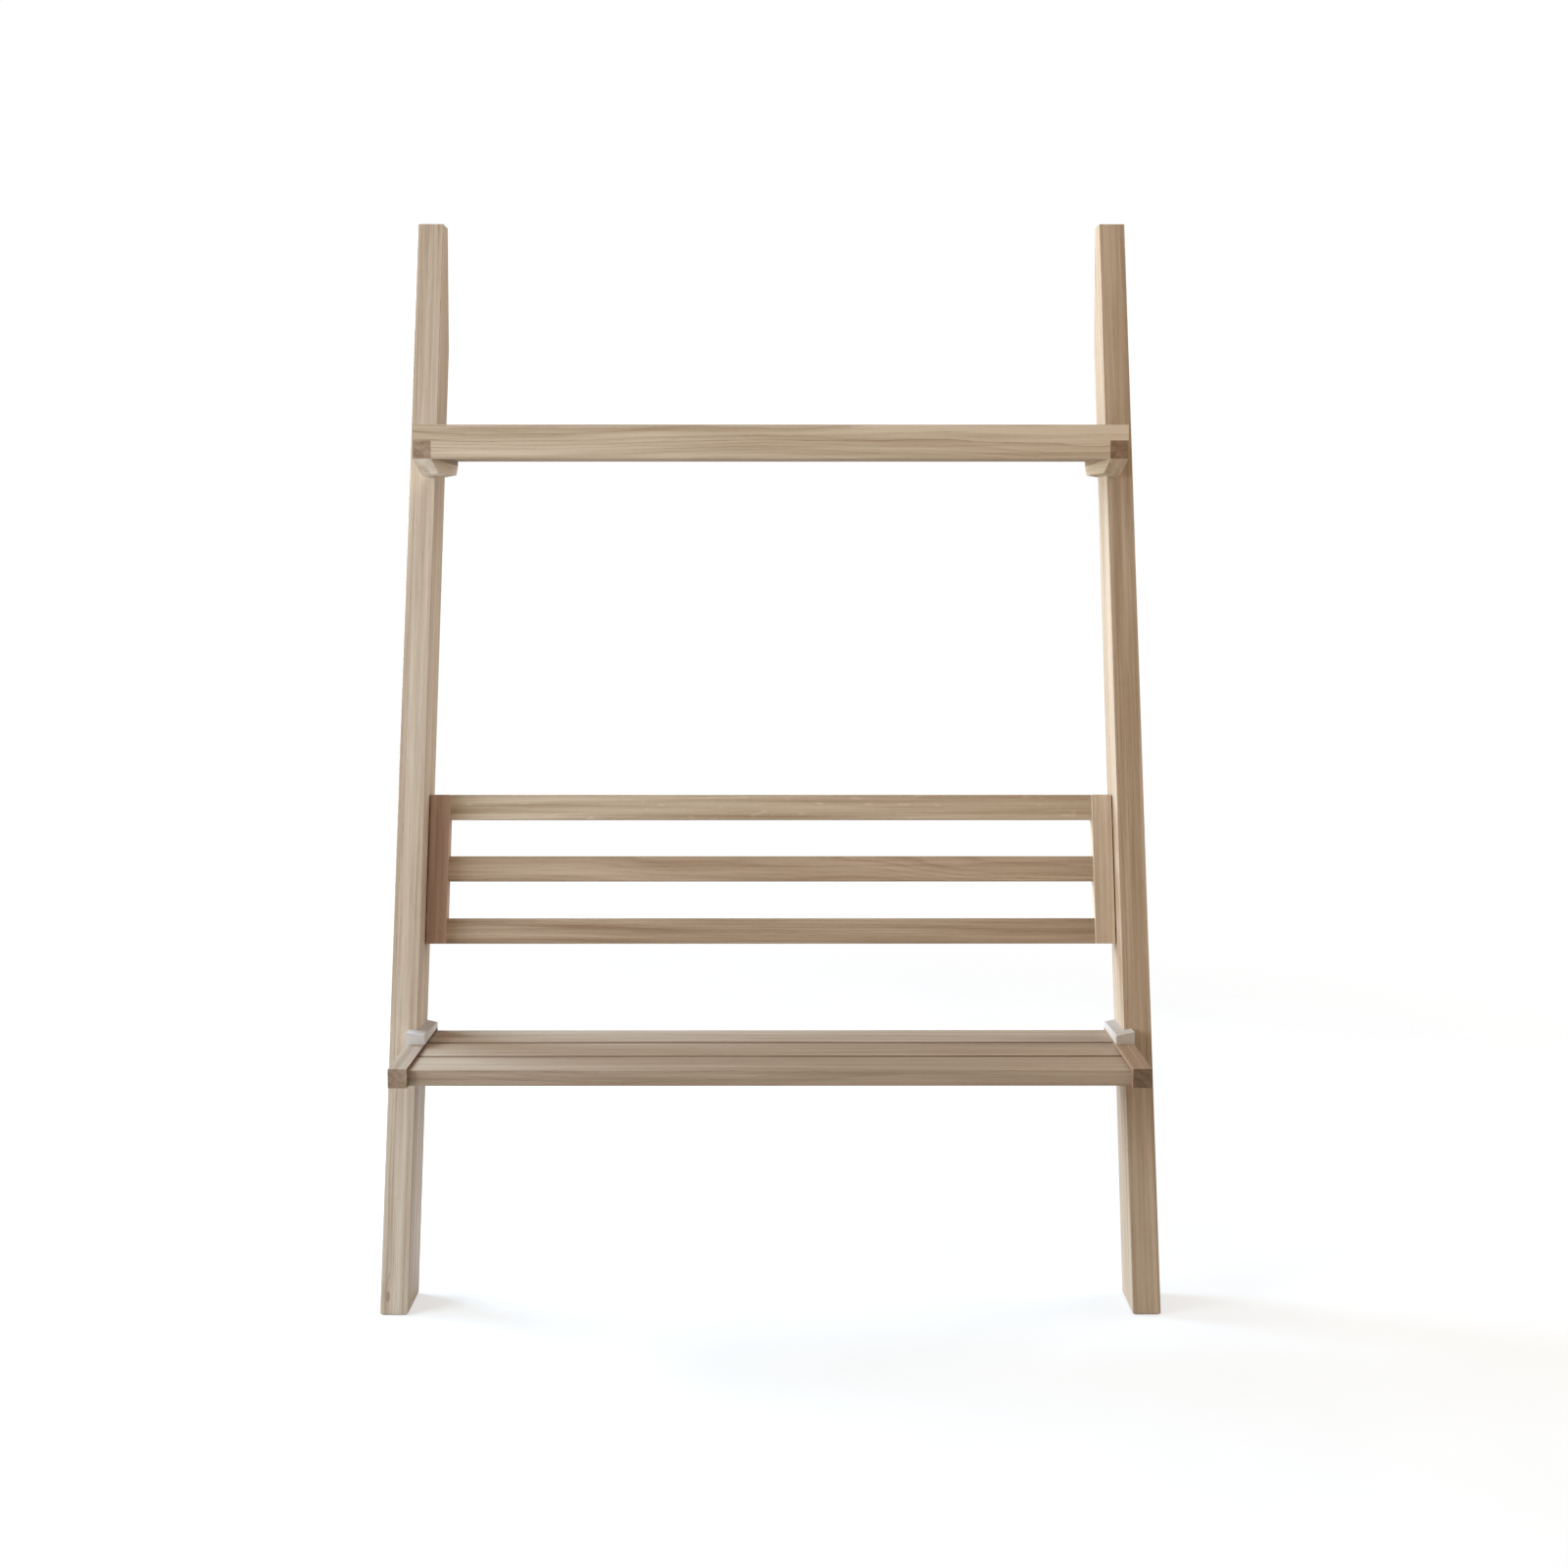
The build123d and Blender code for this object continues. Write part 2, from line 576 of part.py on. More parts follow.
with BuildPart() as backrest_inserts:
    inserts(BACK_BOLTS_LEVEL, STILE_OUTER)
backrest_inserts.part.label = "backrest_inserts"

with BuildPart() as backrest_spacers:
    for spacer_x in (POST_INNER + SIDE_GAP / 2, -POST_INNER - SIDE_GAP / 2):
        for spacer_y, spacer_z in BACK_BOLTS_LEVEL:
            with Locations(Location((spacer_x, spacer_y, spacer_z), (0, 90, 0))):
                Cylinder(SPACER / 2, SIDE_GAP)
                Cylinder(BOLT_HOLE / 2, SIDE_GAP, mode=Mode.SUBTRACT)
backrest_spacers.part.label = "backrest_spacers"

pieces = [
    upright_left, upright_right, foot_pad_left, foot_pad_right, wall_pad_left, wall_pad_right,
    seat_side_rail_left, seat_side_rail_right, seat_slat_front, seat_slat_middle, seat_slat_rear,
    seat_grip_block_left, seat_grip_block_right,
    shelf_side_rail_left, shelf_side_rail_right, shelf_front_board,
    shelf_slat_front, shelf_slat_middle, shelf_slat_rear,
    shelf_grip_block_left, shelf_grip_block_right,
    backrest_stile_left, backrest_stile_right,
    backrest_rail_bottom, backrest_rail_middle, backrest_rail_top,
    seat_slat_dowels, shelf_slat_dowels, shelf_board_dowels, backrest_dowels,
    seat_block_pegs, shelf_block_pegs, shelf_board_pegs,
    seat_bolts, shelf_bolts, backrest_bolts,
    seat_inserts, shelf_inserts, backrest_inserts, backrest_spacers,
]

os.makedirs("parts", exist_ok=True)
for piece in pieces:
    export_step(piece.part, f"parts/{piece.part.label}.step")
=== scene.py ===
"""Looks for the ladder shelf: materials, studio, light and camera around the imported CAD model.

Lengths are in metres, in the CAD frame: the floor is Z = 0, the front faces -Y and the wall is behind.
Every wooden bar is cut from its own place in a procedural log, so grain follows the bar and meets
round its corners.
"""

from math import cos, radians, sin

import bpy
from mathutils import Matrix, Vector


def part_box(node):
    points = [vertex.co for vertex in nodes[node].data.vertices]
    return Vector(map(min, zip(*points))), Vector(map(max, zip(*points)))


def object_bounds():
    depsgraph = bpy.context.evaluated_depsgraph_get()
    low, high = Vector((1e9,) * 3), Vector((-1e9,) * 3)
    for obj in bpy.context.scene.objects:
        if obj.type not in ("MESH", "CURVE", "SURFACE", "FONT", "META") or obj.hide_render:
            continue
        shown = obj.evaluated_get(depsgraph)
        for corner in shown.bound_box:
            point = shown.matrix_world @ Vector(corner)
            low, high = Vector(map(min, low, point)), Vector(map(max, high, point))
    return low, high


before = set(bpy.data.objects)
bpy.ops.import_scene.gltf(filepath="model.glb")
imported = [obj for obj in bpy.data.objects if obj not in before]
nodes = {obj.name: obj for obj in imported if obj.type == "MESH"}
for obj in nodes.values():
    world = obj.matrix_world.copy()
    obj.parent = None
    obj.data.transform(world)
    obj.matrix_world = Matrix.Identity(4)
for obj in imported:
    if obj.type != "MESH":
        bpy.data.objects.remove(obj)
cad_low, cad_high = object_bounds()

# Camera
CAMERA_DISTANCE = 2.7845  # in front of the seat's front edge
CAMERA_HEIGHT = 1.208
CAMERA_SIDE = 0.017
CAMERA_PITCH = 3.121  # degrees down
CAMERA_YAW = -0.093
CAMERA_LENS = 41.89  # mm
CAMERA_SENSOR = 36  # mm wide
CAMERA_SHIFT = -0.08

# The posts lean back by this much, and the backrest with them
LEAN = radians(12.8)
ALONG_POST = Vector((0, sin(LEAN), cos(LEAN)))
OUT_OF_POST = Vector((0, -cos(LEAN), sin(LEAN)))
ACROSS = Vector((1, 0, 0))
BACKWARD = Vector((0, 1, 0))
FORWARD = Vector((0, -1, 0))
UP = Vector((0, 0, 1))

# Oak, as the palest and the darkest of its grain
OAK_PALE = (0.56, 0.435, 0.315)
OAK_DARK = (0.30, 0.195, 0.115)

RING_WIDTH = 0.0032
KNOT_RADIUS = 0.004

# Painted shade on the sawn faces beside the seat's narrow gaps: they are darker, times these
SEAM_PAINTED_SHADE = (0.40, 0.25, 0.19)

# Each bar's tone, times these: partly the oak's own tone and partly painted light and shade, which makes
# whole bars paler or darker where the lights give them too little or too much, as the left post and the
# left shelf block. Most of these and the light colours below began as the result of a least-squares fit to
# the photograph and were then changed. They suit the front view.
TINTS = {
    "post_left": (1.15, 1.22, 1.34),
    "post_right": (1.00, 0.99, 1.00),
    "stile_left": (1.16, 1.05, 1.16),
    "stile_right": (1.32, 1.39, 1.47),
    "board": (1.20, 1.26, 1.33),
    "back_top": (1.12, 1.15, 1.18),
    "back_middle": (0.96, 0.92, 0.92),
    "back_bottom": (0.93, 0.90, 0.91),
    "seat_front": (0.85, 0.84, 0.86),
    "seat_middle": (0.89, 0.88, 0.90),
    "seat_rear": (0.97, 0.99, 1.05),
    "shelf_slats": (1.0, 1.0, 1.0),
    "rail_left": (0.68, 0.66, 0.67),
    "rail_right": (0.70, 0.61, 0.57),
    "shelf_block_left": (1.60, 1.82, 2.10),
    "shelf_block_right": (1.10, 1.10, 1.03),
    "paint_left": (0.90, 0.90, 0.92),
    "paint_right": (0.76, 0.72, 0.68),
}

# Backrest rails: name, cut and flecks
BACK_RAILS = (("top", 80, 0.6), ("middle", 20, 0.2), ("bottom", 50, 0.2))

# How much darker the end grain of the seat's and the shelf's rail is: its own darker tone, with painted
# light and shade per side, the left ends paler and the right darker; below 0 it is paler
END_TONE_AND_PAINTED_LIGHT = {"left": (-0.15, -0.2), "right": (0.34, 0.08)}

# Room light from the left and from the right, and softboxes: position, size, colour
ROOM_LEFT = (1.68, 1.34, 0.93)
ROOM_RIGHT = (0.95, 0.86, 0.75)
SOFTBOXES = (
    ("front_left", (-3.2, -1.2, 1.6), 1.8, (0.84, 1.08, 1.31)),
    ("back_left", (-2.4, 0.8, 1.6), 1.2, (0.74, 1.08, 1.45)),
    ("back_right", (2.4, 0.6, 1.6), 1.4, (0.26, 0.28, 0.30)),
    ("front_right", (2.4, -1.2, 1.2), 1.4, (0.07, 0.06, 0.045)),
)

SOFTBOX_WATTS = 100
ROOM_WHITE = (1.02, 1.02, 1.02, 1)  # as the camera sees the room
FLOOR_RADIUS = 9
FLOOR_FADE = (1.3, 3.2)  # distances between which the floor turns transparent
FLOOR_GLOW = 0.08
FLOOR_GLOW_SEEN = 0.50  # more glow, to the camera only

# White paint of the seat's grip blocks
PAINT = (0.72, 0.67, 0.63)
PAINT_SHADE = (0.64, 0.59, 0.55)


class Tree:
    """Adds nodes to a node tree. An input given as a socket is linked, and any other is set."""

    def __init__(self, tree):
        self.tree = tree

    def put(self, socket, value):
        if isinstance(value, bpy.types.NodeSocket):
            self.tree.links.new(value, socket)
        else:
            socket.default_value = value

    def add(self, kind, inputs=None, **settings):
        node = self.tree.nodes.new(kind)
        for name, value in settings.items():
            setattr(node, name, value)
        for key, value in (inputs or {}).items():
            self.put(node.inputs[key], value)
        return node

    def math(self, operation, *values, clamp=False):
        node = self.add("ShaderNodeMath", operation=operation, use_clamp=clamp)
        for socket, value in zip(node.inputs, values):
            self.put(socket, value)
        return node.outputs[0]

    def vector(self, operation, *values):
        node = self.add("ShaderNodeVectorMath", operation=operation)
        sockets = (node.inputs[0], node.inputs["Scale"]) if operation == "SCALE" else node.inputs
        for socket, value in zip(sockets, values):
            self.put(socket, value)
        return node.outputs["Value" if operation in ("LENGTH", "DOT_PRODUCT") else "Vector"]

    def weighed(self, start, *terms):
        """start plus each term's socket times its weight."""
        total = start
        for socket, weight in terms:
            total = self.math("MULTIPLY_ADD", socket, weight, total)
        return total

    def noise(self, place, stretch, detail=2.0, roughness=0.5):
        """Noise from 0 to 1 whose features are 1 / stretch long on each axis."""
        scaled = self.vector("MULTIPLY", place, stretch)
        inputs = {"Vector": scaled, "Scale": 1.0, "Detail": detail, "Roughness": roughness}
        return self.add("ShaderNodeTexNoise", inputs).outputs["Fac"]

    def between(self, value, low, high, to_low=0.0, to_high=1.0):
        """Smooth step of value from low..high to to_low..to_high."""
        inputs = {
            "Value": value, "From Min": low, "From Max": high, "To Min": to_low, "To Max": to_high
        }
        return self.add("ShaderNodeMapRange", inputs, interpolation_type="SMOOTHSTEP").outputs[0]

    def ramp(self, value, *stops):
        """Colour ramp through (position, colour) stops; a number stands for that grey."""
        node = self.add("ShaderNodeValToRGB", {"Fac": value})
        elements = node.color_ramp.elements
        while len(elements) < len(stops):
            elements.new(0.5)
        for element, (position, colour) in zip(elements, stops):
            element.position = position
            element.color = (*colour, 1) if isinstance(colour, tuple) else (colour,) * 3 + (1,)
        return node.outputs["Color"]

    def mixed(self, share, first, second, blend="MIX"):
        node = self.add("ShaderNodeMix", data_type="RGBA", blend_type=blend)
        for index, value in ((0, share), (6, first), (7, second)):
            self.put(node.inputs[index], value)
        return node.outputs[2]


def new_material(name):
    """A material with only a Principled shader, its tree's builder and that shader."""
    material = bpy.data.materials.new(name)
    material.use_nodes = True
    tree = Tree(material.node_tree)
    shader = material.node_tree.nodes["Principled BSDF"]
    return material, tree, shader


def dress(node, material):
    """Puts the material on every slot of a CAD node."""
    for slot in nodes[node].material_slots:
        slot.material = material


# Wood


def grain_group():
    """Node group: a place in the log, with X along it and the pith on the X axis, to oak's looks there."""
    group = bpy.data.node_groups.new("oak_grain", "ShaderNodeTree")
    sockets = (
        ("Place", "NodeSocketVector"),
        ("Wander", "NodeSocketFloat"),
        ("Ring", "NodeSocketFloat"),
        ("Figure", "NodeSocketFloat"),
        ("Fleck", "NodeSocketFloat"),
        ("Knot", "NodeSocketVector"),
        ("Knot Radius", "NodeSocketFloat"),
        ("Endwise", "NodeSocketFloat"),
        ("End Shade", "NodeSocketFloat"),
        ("Pale", "NodeSocketColor"),
        ("Dark", "NodeSocketColor"),
    )
    for name, kind in sockets:
        group.interface.new_socket(name, in_out="INPUT", socket_type=kind)
    group.interface.new_socket("Color", in_out="OUTPUT", socket_type="NodeSocketColor")
    group.interface.new_socket("Roughness", in_out="OUTPUT", socket_type="NodeSocketFloat")
    group.interface.new_socket("Height", in_out="OUTPUT", socket_type="NodeSocketFloat")

    tree = Tree(group)
    given = tree.add("NodeGroupInput").outputs
    place = given["Place"]

    # A knot pushes the rings aside and is dark itself
    from_knot = tree.vector("SUBTRACT", place, given["Knot"])
    from_knot = tree.vector("LENGTH", tree.vector("MULTIPLY", from_knot, (0.45, 1, 1)))
    knot_reach = tree.math("DIVIDE", from_knot, given["Knot Radius"])
    knot = tree.between(knot_reach, 0.5, 1.1, 1.0, 0.0)
    knot_halo = tree.between(knot_reach, 0.6, 5.0, 1.0, 0.0)
    knot_bulge = tree.math("MULTIPLY", knot_halo, given["Knot Radius"])

    # Rings: distance from the pith, which wanders along the log, counted in ring widths
    wander = tree.noise(place, (1.1, 6, 6), detail=1.5)
    ripple = tree.noise(place, (7, 50, 50), detail=2)
    across = tree.vector("LENGTH", tree.vector("MULTIPLY", place, (0, 1, 1)))
    radius = tree.math("MULTIPLY_ADD", tree.math("SUBTRACT", wander, 0.5), given["Wander"], across)
    radius = tree.weighed(radius, (ripple, 0.003), (knot_bulge, 1.6))
    spacing = tree.math("MULTIPLY", radius, 110.0)
    uneven = tree.add("ShaderNodeTexNoise", {"W": spacing, "Scale": 1.0}, noise_dimensions="1D")
    rings = tree.math("DIVIDE", radius, given["Ring"])
    rings = tree.math("MULTIPLY_ADD", uneven.outputs["Fac"], 1.8, rings)
    number = tree.math("FLOOR", rings)
    character = tree.add("ShaderNodeTexWhiteNoise", {"W": number}, noise_dimensions="1D").outputs["Value"]
    profile = tree.ramp(
        tree.math("FRACT", rings), (0.0, 1.0), (0.12, 0.75), (0.45, 0.15), (0.86, 0.0), (1.0, 0.85)
    )
    early = tree.math("MULTIPLY", profile, tree.math("MULTIPLY_ADD", character, 0.7, 0.3))

    # Broad bands that follow the rings, and soft stripes that don't
    flat = tree.add("ShaderNodeCombineXYZ", {"X": tree.math("MULTIPLY", radius, 75.0)})
    along = tree.add("ShaderNodeSeparateXYZ", {"Vector": place}).outputs["X"]
    tree.put(flat.inputs["Y"], tree.math("MULTIPLY", along, 1.3))
    band_inputs = {"Vector": flat.outputs[0], "Scale": 1.0, "Detail": 2.0}
    bands = tree.add("ShaderNodeTexNoise", band_inputs).outputs["Fac"]
    stripes = tree.noise(place, (0.9, 24, 24), detail=2)
    streaks = tree.noise(place, (2.4, 130, 130), detail=3, roughness=0.6)
    fibres = tree.noise(place, (6, 420, 420), detail=4, roughness=0.65)

    # Pores: short dark dashes, most of them in the early wood
    dashes = tree.noise(place, (60, 1500, 1500), detail=1)
    dashes = tree.between(dashes, 0.56, 0.72)
    pores = tree.math("MULTIPLY", dashes, tree.math("MULTIPLY_ADD", early, 0.8, 0.2))

    # Ray flecks: ribbons from the pith outwards, broad where the cut runs along them
    parts = tree.add("ShaderNodeSeparateXYZ", {"Vector": place}).outputs
    turn = tree.math("ARCTAN2", parts["Z"], parts["Y"])
    ribbon = tree.add("ShaderNodeCombineXYZ", {"X": along, "Y": across, "Z": turn}).outputs[0]
    flecks = tree.noise(ribbon, (42, 36, 60), detail=1.5)
    flecks = tree.math("MULTIPLY", tree.between(flecks, 0.63, 0.70), given["Fleck"])

    figure = tree.weighed(0.0, (early, 0.34), (tree.math("SUBTRACT", bands, 0.5), 1.1))
    figure = tree.math("MULTIPLY", figure, given["Figure"])
    darkness = tree.weighed(
        -1.05, (figure, 1.2), (stripes, 0.7), (streaks, 1.3), (fibres, 0.8),
        (pores, 0.5), (flecks, -0.4), (knot, 0.9), (knot_halo, 0.12), (given["Endwise"], 0.22)
    )
    darkness = tree.math("MINIMUM", tree.math("MAXIMUM", darkness, 0.0), 1.0)
    colour = tree.mixed(darkness, given["Pale"], given["Dark"])
    shade = tree.math("SUBTRACT", 1.0, tree.math("MULTIPLY", given["Endwise"], given["End Shade"]))
    colour = tree.vector("SCALE", colour, shade)
    roughness = tree.weighed(0.46, (fibres, 0.12), (pores, 0.2), (given["Endwise"], 0.12))
    height = tree.weighed(0.5, (fibres, 0.4), (pores, -0.8), (early, -0.25))

    result = tree.add("NodeGroupOutput")
    tree.put(result.inputs["Color"], colour)
    tree.put(result.inputs["Roughness"], roughness)
    tree.put(result.inputs["Height"], height)
    return group


GRAIN = grain_group()


def scaled(colour, tint):
    return tuple(c * t for c, t in zip(colour, tint))


def oak(node, grain, face, cut, start, tint, wander=0.05, figure=1.0,
        fleck=0.0, pith=0.11, knot=None, end=0.3, seam=None):
    """Oak for one bar, with its grain along `grain` and its main face towards `face`.

    `cut` is 0 where that face is flat-sawn and 90 where it is quarter-sawn. `start` is how far along the
    log the bar's middle lies, and `pith` how far from its heart. `knot` is a point on the bar. `end` is how
    much darker its end grain is: its own darker tone, with painted light and shade on top. The face towards
    `seam` gets painted shade, as if shaded by a close neighbour.
    """
    material, tree, shader = new_material("oak_" + node)
    low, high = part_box(node)
    turn = Matrix((grain, face, grain.cross(face)))
    heart = Vector((start, pith * cos(radians(cut)), pith * sin(radians(cut))))
    offset = heart - turn @ ((low + high) / 2)
    coordinates = tree.add("ShaderNodeTexCoord").outputs
    mapping = tree.add("ShaderNodeMapping", {
        "Vector": coordinates["Object"],
        "Rotation": turn.to_euler(),
        "Location": offset,
    })
    facing = tree.vector("DOT_PRODUCT", coordinates["Normal"], tuple(grain))
    endwise = tree.between(tree.math("ABSOLUTE", facing), 0.7, 0.9)
    no_knot = heart + Vector((9, 0, 0))
    look = tree.add("ShaderNodeGroup", node_tree=GRAIN)
    values = {
        "Place": mapping.outputs["Vector"],
        "Wander": wander,
        "Ring": RING_WIDTH,
        "Figure": figure,
        "Fleck": fleck,
        "Knot": turn @ knot + offset if knot else no_knot,
        "Knot Radius": KNOT_RADIUS,
        "Endwise": endwise,
        "End Shade": end,
        "Pale": (*scaled(OAK_PALE, tint), 1),
        "Dark": (*scaled(OAK_DARK, tint), 1),
    }
    for name, value in values.items():
        tree.put(look.inputs[name], value)
    bump_inputs = {"Height": look.outputs["Height"], "Strength": 0.35, "Distance": 0.0004}
    bump = tree.add("ShaderNodeBump", bump_inputs)
    colour = look.outputs["Color"]
    # Painted shade: the face towards seam is darkened as if shaded by its close neighbour
    if seam:
        painted_shade = tree.between(tree.vector("DOT_PRODUCT", coordinates["Normal"], tuple(seam)), 0.45, 0.8)
        colour = tree.mixed(painted_shade, colour, (*SEAM_PAINTED_SHADE, 1), blend="MULTIPLY")
    tree.put(shader.inputs["Base Color"], colour)
    tree.put(shader.inputs["Roughness"], look.outputs["Roughness"])
    tree.put(shader.inputs["Normal"], bump.outputs["Normal"])
    shader.inputs["IOR"].default_value = 1.45
    shader.inputs["Specular IOR Level"].default_value = 0.4
    dress(node, material)


def dress_wood():
    """Each bar from its own place in the log."""
    left_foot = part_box("upright_left")[0]
    foot_knot = Vector((left_foot.x + 0.012, left_foot.y + 0.006, left_foot.z + 0.026))
    oak("upright_left", ALONG_POST, OUT_OF_POST, 62, 0.3, TINTS["post_left"], wander=0.03,
        figure=0.8, knot=foot_knot)
    oak("upright_right", ALONG_POST, OUT_OF_POST, 55, 4.1, TINTS["post_right"], wander=0.035, figure=0.9)
    oak("backrest_stile_left", ALONG_POST, OUT_OF_POST, 70, 7.3, TINTS["stile_left"], figure=0.7)
    oak("backrest_stile_right", ALONG_POST, OUT_OF_POST, 66, 9.2, TINTS["stile_right"], figure=0.7)
    oak("shelf_front_board", ACROSS, FORWARD, 22, 12.4, TINTS["board"], wander=0.06, figure=1.2)
    for index, (third, cut, fleck) in enumerate(BACK_RAILS):
        oak("backrest_rail_" + third, ACROSS, OUT_OF_POST, cut, 15.0 + 2.3 * index,
            TINTS["back_" + third], fleck=fleck)
    for index, third in enumerate(("front", "middle", "rear")):
        oak("seat_slat_" + third, ACROSS, UP, 72, 22.0 + 1.9 * index, TINTS["seat_" + third], figure=0.6,
            wander=0.03, seam=FORWARD if index else None)
        oak("shelf_slat_" + third, ACROSS, UP, 48, 31.0 + 2.1 * index, TINTS["shelf_slats"], figure=0.8)
    for index, side in enumerate(("left", "right")):
        tint = TINTS["rail_" + side]
        seat_end, shelf_end = END_TONE_AND_PAINTED_LIGHT[side]
        oak("seat_side_rail_" + side, BACKWARD, UP, 45 + 6 * index, 41.0 + index, tint, pith=0.05,
            end=seat_end, seam=None if index else ACROSS)
        oak("shelf_side_rail_" + side, BACKWARD, UP, 38 - 9 * index, 44.0 + index, tint, pith=0.06,
            end=shelf_end)
        oak("shelf_grip_block_" + side, BACKWARD, UP, 60, 47.0 + index, TINTS["shelf_block_" + side],
            figure=0.6)


def painted(node, tint):
    """White satin paint: faint brush lines along the block, and wood showing at its arrises."""
    material, tree, shader = new_material("paint_" + node)
    place = tree.add("ShaderNodeTexCoord").outputs["Object"]
    brush = tree.noise(place, (900, 26, 900), detail=3)
    cloud = tree.noise(place, (40, 18, 40), detail=2)
    worn = tree.between(tree.noise(place, (160, 60, 160), detail=2), 0.64, 0.8)
    bevel = tree.add("ShaderNodeBevel", {"Radius": 0.0012}, samples=4).outputs["Normal"]
    flat = tree.add("ShaderNodeNewGeometry").outputs["True Normal"]
    edge = tree.between(tree.vector("DOT_PRODUCT", bevel, flat), 0.985, 0.93)
    unevenness = tree.weighed(0.0, (brush, 0.5), (cloud, 0.5))
    tone = tree.ramp(unevenness, (0.35, scaled(PAINT_SHADE, tint)), (0.65, scaled(PAINT, tint)))
    bare = tree.math("MULTIPLY", edge, worn)
    tree.put(shader.inputs["Base Color"], tree.mixed(bare, tone, (*OAK_PALE, 1)))
    tree.put(shader.inputs["Roughness"], tree.math("MULTIPLY_ADD", brush, 0.15, 0.38))
    bump = tree.add("ShaderNodeBump", {"Height": brush, "Strength": 0.2, "Distance": 0.0002})
    tree.put(shader.inputs["Normal"], bump.outputs["Normal"])
    dress(node, material)


def beech(node):
    """Turned beech of dowels and pegs: pinkish, with short brown rays and compressed flutes."""
    material, tree, shader = new_material("beech_" + node)
    place = tree.add("ShaderNodeTexCoord").outputs["Object"]
    rays = tree.between(tree.noise(place, (500, 1400, 500), detail=1), 0.58, 0.68)
    lines = tree.noise(place, (30, 700, 700), detail=3)
    tone = tree.mixed(lines, (0.55, 0.37, 0.23, 1), (0.68, 0.50, 0.34, 1))
    ray_share = tree.math("MULTIPLY", rays, 0.5)
    tree.put(shader.inputs["Base Color"], tree.mixed(ray_share, tone, (0.38, 0.22, 0.12, 1)))
    tree.put(shader.inputs["Roughness"], tree.math("MULTIPLY_ADD", lines, 0.15, 0.5))
    bump = tree.add("ShaderNodeBump", {"Height": lines, "Strength": 0.3, "Distance": 0.0002})
    tree.put(shader.inputs["Normal"], bump.outputs["Normal"])
    dress(node, material)


def zinc(node):
    """Zinc-plated steel with a faint bluish spangle and turning marks."""
    material, tree, shader = new_material("zinc_" + node)
    place = tree.add("ShaderNodeTexCoord").outputs["Object"]
    spangle = tree.noise(place, (420, 420, 420), detail=3)
    marks = tree.noise(place, (2600, 120, 120), detail=2)
    tree.put(shader.inputs["Base Color"], tree.mixed(spangle, (0.42, 0.44, 0.47, 1), (0.66, 0.67, 0.66, 1)))
    tree.put(shader.inputs["Roughness"], tree.weighed(0.24, (spangle, 0.16), (marks, 0.08)))
    bump = tree.add("ShaderNodeBump", {"Height": marks, "Strength": 0.15, "Distance": 0.0001})
    tree.put(shader.inputs["Normal"], bump.outputs["Normal"])
    shader.inputs["Metallic"].default_value = 1.0
    dress(node, material)


def felt(node):
    """Grey-brown pressed felt: matted fibres and a soft sheen."""
    material, tree, shader = new_material("felt_" + node)
    place = tree.add("ShaderNodeTexCoord").outputs["Object"]
    lumps = tree.noise(place, (260, 260, 260), detail=4, roughness=0.7)
    hairs = tree.noise(tree.vector("ADD", place, (0.3, 0.1, 0.2)), (2400, 700, 1500), detail=3)
    tree.put(shader.inputs["Base Color"], tree.mixed(lumps, (0.16, 0.14, 0.12, 1), (0.40, 0.37, 0.33, 1)))
    tree.put(shader.inputs["Roughness"], tree.math("MULTIPLY_ADD", hairs, 0.1, 0.88))
    nap = tree.weighed(0.0, (lumps, 0.6), (hairs, 0.4))
    bump = tree.add("ShaderNodeBump", {"Height": nap, "Strength": 0.7, "Distance": 0.0006})
    tree.put(shader.inputs["Normal"], bump.outputs["Normal"])
    shader.inputs["Sheen Weight"].default_value = 0.35
    shader.inputs["Sheen Roughness"].default_value = 0.5
    dress(node, material)


def nylon(node):
    """Moulded off-white nylon: slightly translucent, with a fine satin texture."""
    material, tree, shader = new_material("nylon_" + node)
    place = tree.add("ShaderNodeTexCoord").outputs["Object"]
    satin = tree.noise(place, (1500, 1500, 1500), detail=2)
    flow = tree.noise(place, (60, 60, 60), detail=1)
    tree.put(shader.inputs["Base Color"], tree.mixed(flow, (0.62, 0.60, 0.55, 1), (0.74, 0.72, 0.67, 1)))
    tree.put(shader.inputs["Roughness"], tree.math("MULTIPLY_ADD", satin, 0.14, 0.4))
    bump = tree.add("ShaderNodeBump", {"Height": satin, "Strength": 0.2, "Distance": 0.0001})
    tree.put(shader.inputs["Normal"], bump.outputs["Normal"])
    shader.inputs["Subsurface Weight"].default_value = 0.1
    dress(node, material)


def dress_the_rest():
    """Paint, dowels, metal, felt and nylon."""
    for side in ("left", "right"):
        painted("seat_grip_block_" + side, TINTS["paint_" + side])
        felt("foot_pad_" + side)
        felt("wall_pad_" + side)
    for node in ("seat_slat_dowels", "shelf_slat_dowels", "shelf_board_dowels", "backrest_dowels",
                 "seat_block_pegs", "shelf_block_pegs", "shelf_board_pegs"):
        beech(node)
    for place in ("seat", "shelf", "backrest"):
        zinc(place + "_bolts")
        zinc(place + "_inserts")
    nylon("backrest_spacers")


dress_wood()
dress_the_rest()


# Studio


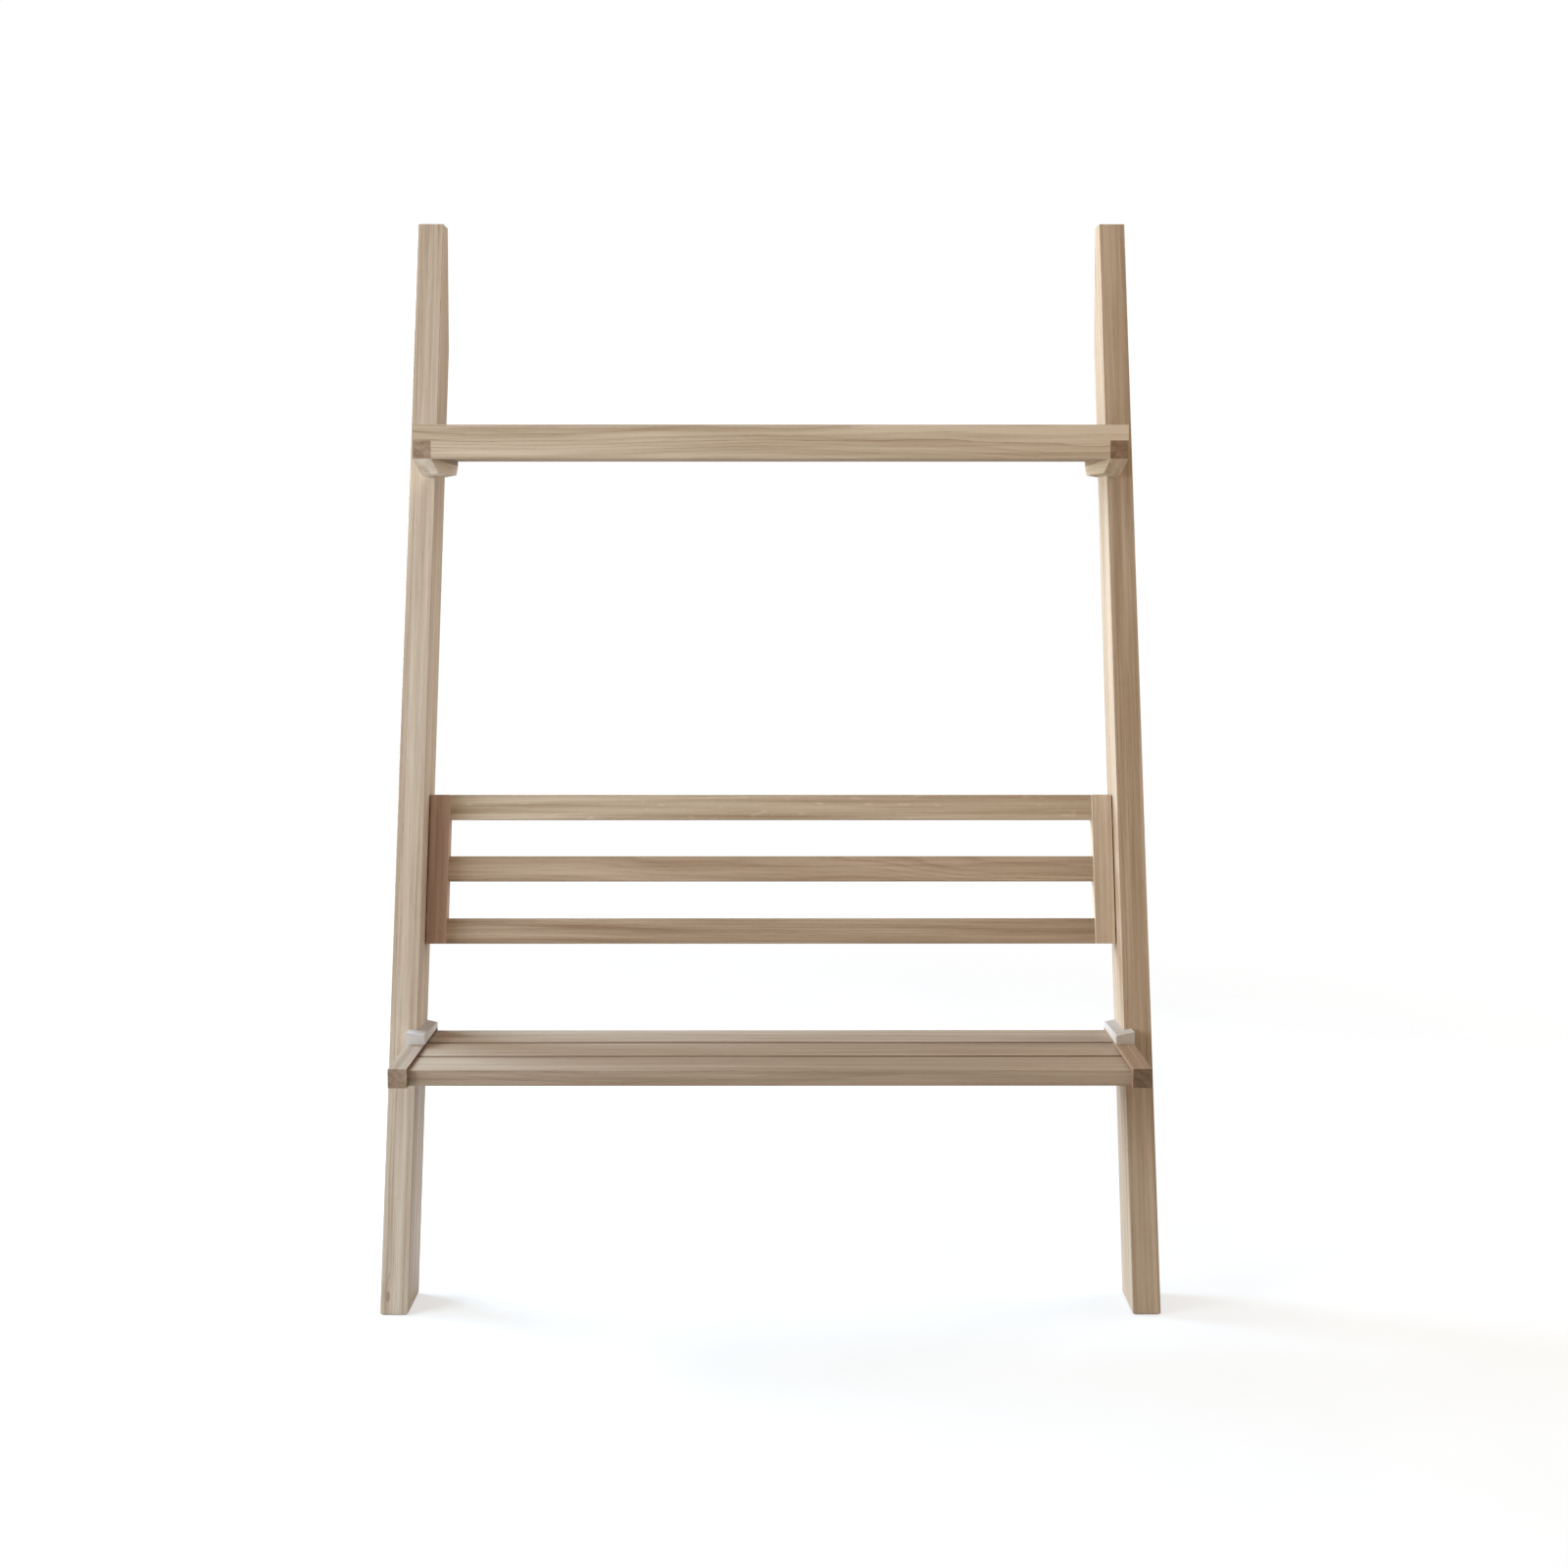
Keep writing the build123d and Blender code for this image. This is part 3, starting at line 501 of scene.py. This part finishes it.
def floor():
    """Pale floor that fades into the room. It glows more to the camera, which keeps it white there."""
    bpy.ops.mesh.primitive_circle_add(vertices=96, radius=FLOOR_RADIUS, fill_type="TRIFAN")
    disc = bpy.context.object
    disc.name = "studio_floor"
    material, tree, shader = new_material("studio_floor")
    place = tree.add("ShaderNodeTexCoord").outputs["Object"]
    mottle = tree.noise(place, (3, 3, 3), detail=3)
    tree.put(shader.inputs["Base Color"], tree.ramp(mottle, (0.3, 0.37), (0.7, 0.40)))
    shader.inputs["Roughness"].default_value = 0.9
    shader.inputs["Specular IOR Level"].default_value = 0.1
    shader.inputs["Emission Color"].default_value = (1, 1, 1, 1)
    seen = tree.add("ShaderNodeLightPath").outputs["Is Camera Ray"]
    glow = tree.math("MULTIPLY_ADD", seen, FLOOR_GLOW_SEEN, FLOOR_GLOW)
    tree.put(shader.inputs["Emission Strength"], glow)
    reach = tree.vector("LENGTH", place)
    tree.put(shader.inputs["Alpha"], tree.between(reach, *FLOOR_FADE, 1.0, 0.0))
    disc.data.materials.append(material)


def room():
    """Room that is plain white to the camera and lights the object with its two sides' colours."""
    world = bpy.data.worlds.new("white_room")
    bpy.context.scene.world = world
    world.use_nodes = True
    tree = Tree(world.node_tree)
    outwards = tree.add("ShaderNodeTexCoord").outputs["Generated"]
    sides = tree.add("ShaderNodeSeparateXYZ", {"Vector": outwards}).outputs["X"]
    to_left = tree.math("MAXIMUM", tree.math("MULTIPLY", sides, -1.0), 0.0)
    to_right = tree.math("MAXIMUM", sides, 0.0)
    left_glow = tree.vector("SCALE", ROOM_LEFT, to_left)
    right_glow = tree.vector("SCALE", ROOM_RIGHT, to_right)
    glow = tree.vector("ADD", left_glow, right_glow)
    seen = tree.add("ShaderNodeLightPath").outputs["Is Camera Ray"]
    background = world.node_tree.nodes["Background"]
    tree.put(background.inputs["Color"], tree.mixed(seen, glow, ROOM_WHITE))


def softbox(name, position, target, size, colour):
    """Square area light at position, facing target and hidden from the camera."""
    light = bpy.data.lights.new(name, "AREA")
    light.shape = "RECTANGLE"
    light.size = size
    light.size_y = size
    light.energy = SOFTBOX_WATTS
    light.color = colour
    lamp = bpy.data.objects.new(name, light)
    lamp.location = position
    lamp.rotation_euler = (Vector(target) - Vector(position)).to_track_quat("-Z", "Y").to_euler()
    lamp.visible_camera = False
    bpy.context.scene.collection.objects.link(lamp)


def lights():
    middle = (cad_low + cad_high) / 2
    for name, position, size, colour in SOFTBOXES:
        softbox(name, position, middle, size, colour)


def camera():
    lens = bpy.data.cameras.new("camera")
    lens.lens = CAMERA_LENS
    lens.sensor_width = CAMERA_SENSOR
    lens.shift_y = CAMERA_SHIFT
    eye = bpy.data.objects.new("camera", lens)
    eye.location = (CAMERA_SIDE, cad_low.y - CAMERA_DISTANCE, CAMERA_HEIGHT)
    eye.rotation_euler = (radians(90 - CAMERA_PITCH), 0, radians(CAMERA_YAW))
    bpy.context.scene.collection.objects.link(eye)
    bpy.context.scene.camera = eye


floor()
room()
lights()
camera()
bpy.context.scene.view_settings.view_transform = "Standard"
